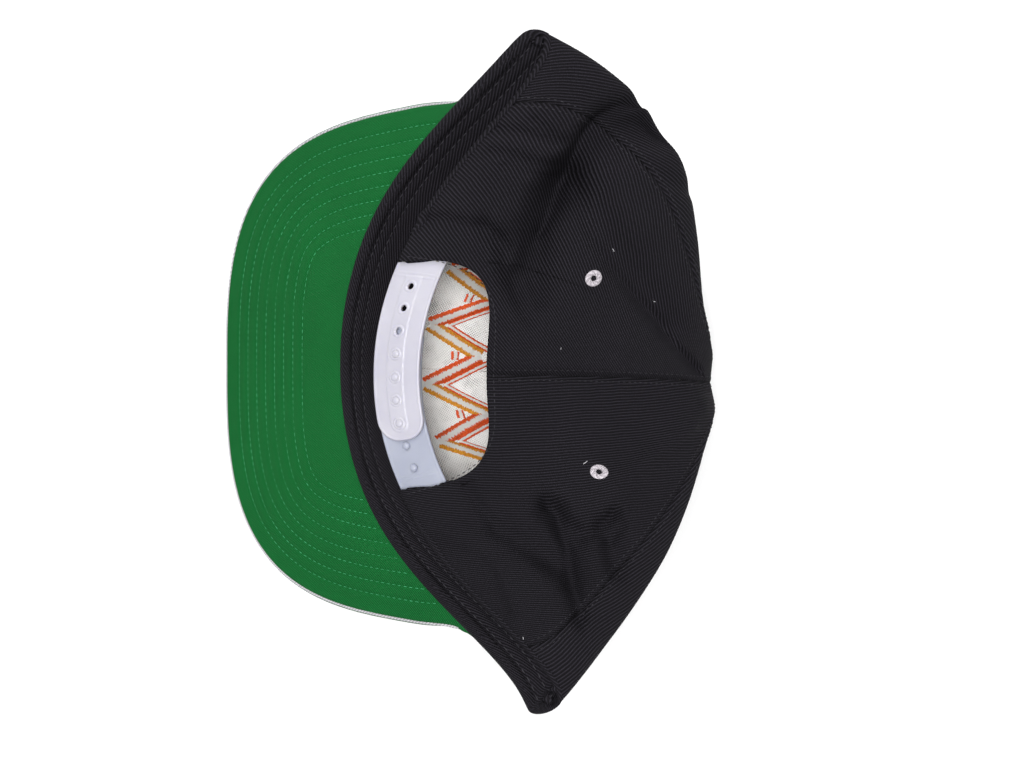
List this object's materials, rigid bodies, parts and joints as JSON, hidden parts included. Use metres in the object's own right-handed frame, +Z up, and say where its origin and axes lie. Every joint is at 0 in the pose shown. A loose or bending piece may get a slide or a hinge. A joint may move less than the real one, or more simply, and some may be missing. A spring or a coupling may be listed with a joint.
{
  "type": "snapback cap",
  "caption": "Six-panel cap with a flat stitched bill and a snap strap across an arched back opening, lying on its front.",
  "frame": {"origin": "on the table, under the middle of the cap's bounding box", "axes": "+Z up from the table, -Y where the bill points, +X towards the wearer's right"},
  "size_m": [0.246, 0.221, 0.0858],
  "materials": {
    "black_twill": "heavy twill",
    "grey_twill": "twill",
    "green_twill": "fine twill",
    "strap_plastic": "satin",
    "thread": "satin stitch"
  },
  "bodies": {
    "root": {"panel_front_left": "grey_twill", "panel_front_right": "grey_twill", "panel_side_left": "black_twill", "panel_side_right": "black_twill", "panel_back_left": "black_twill", "panel_back_right": "black_twill", "sweatband": "black_twill", "bill_top": "grey_twill", "bill_under": "green_twill", "strap_holes": "strap_plastic", "strap_pegs": "strap_plastic", "eyelet_back_left": "thread", "eyelet_back_right": "thread", "eyelet_side_left": "thread", "eyelet_side_right": "thread", "top_button": "black_twill"}
  },
  "joints": []
}
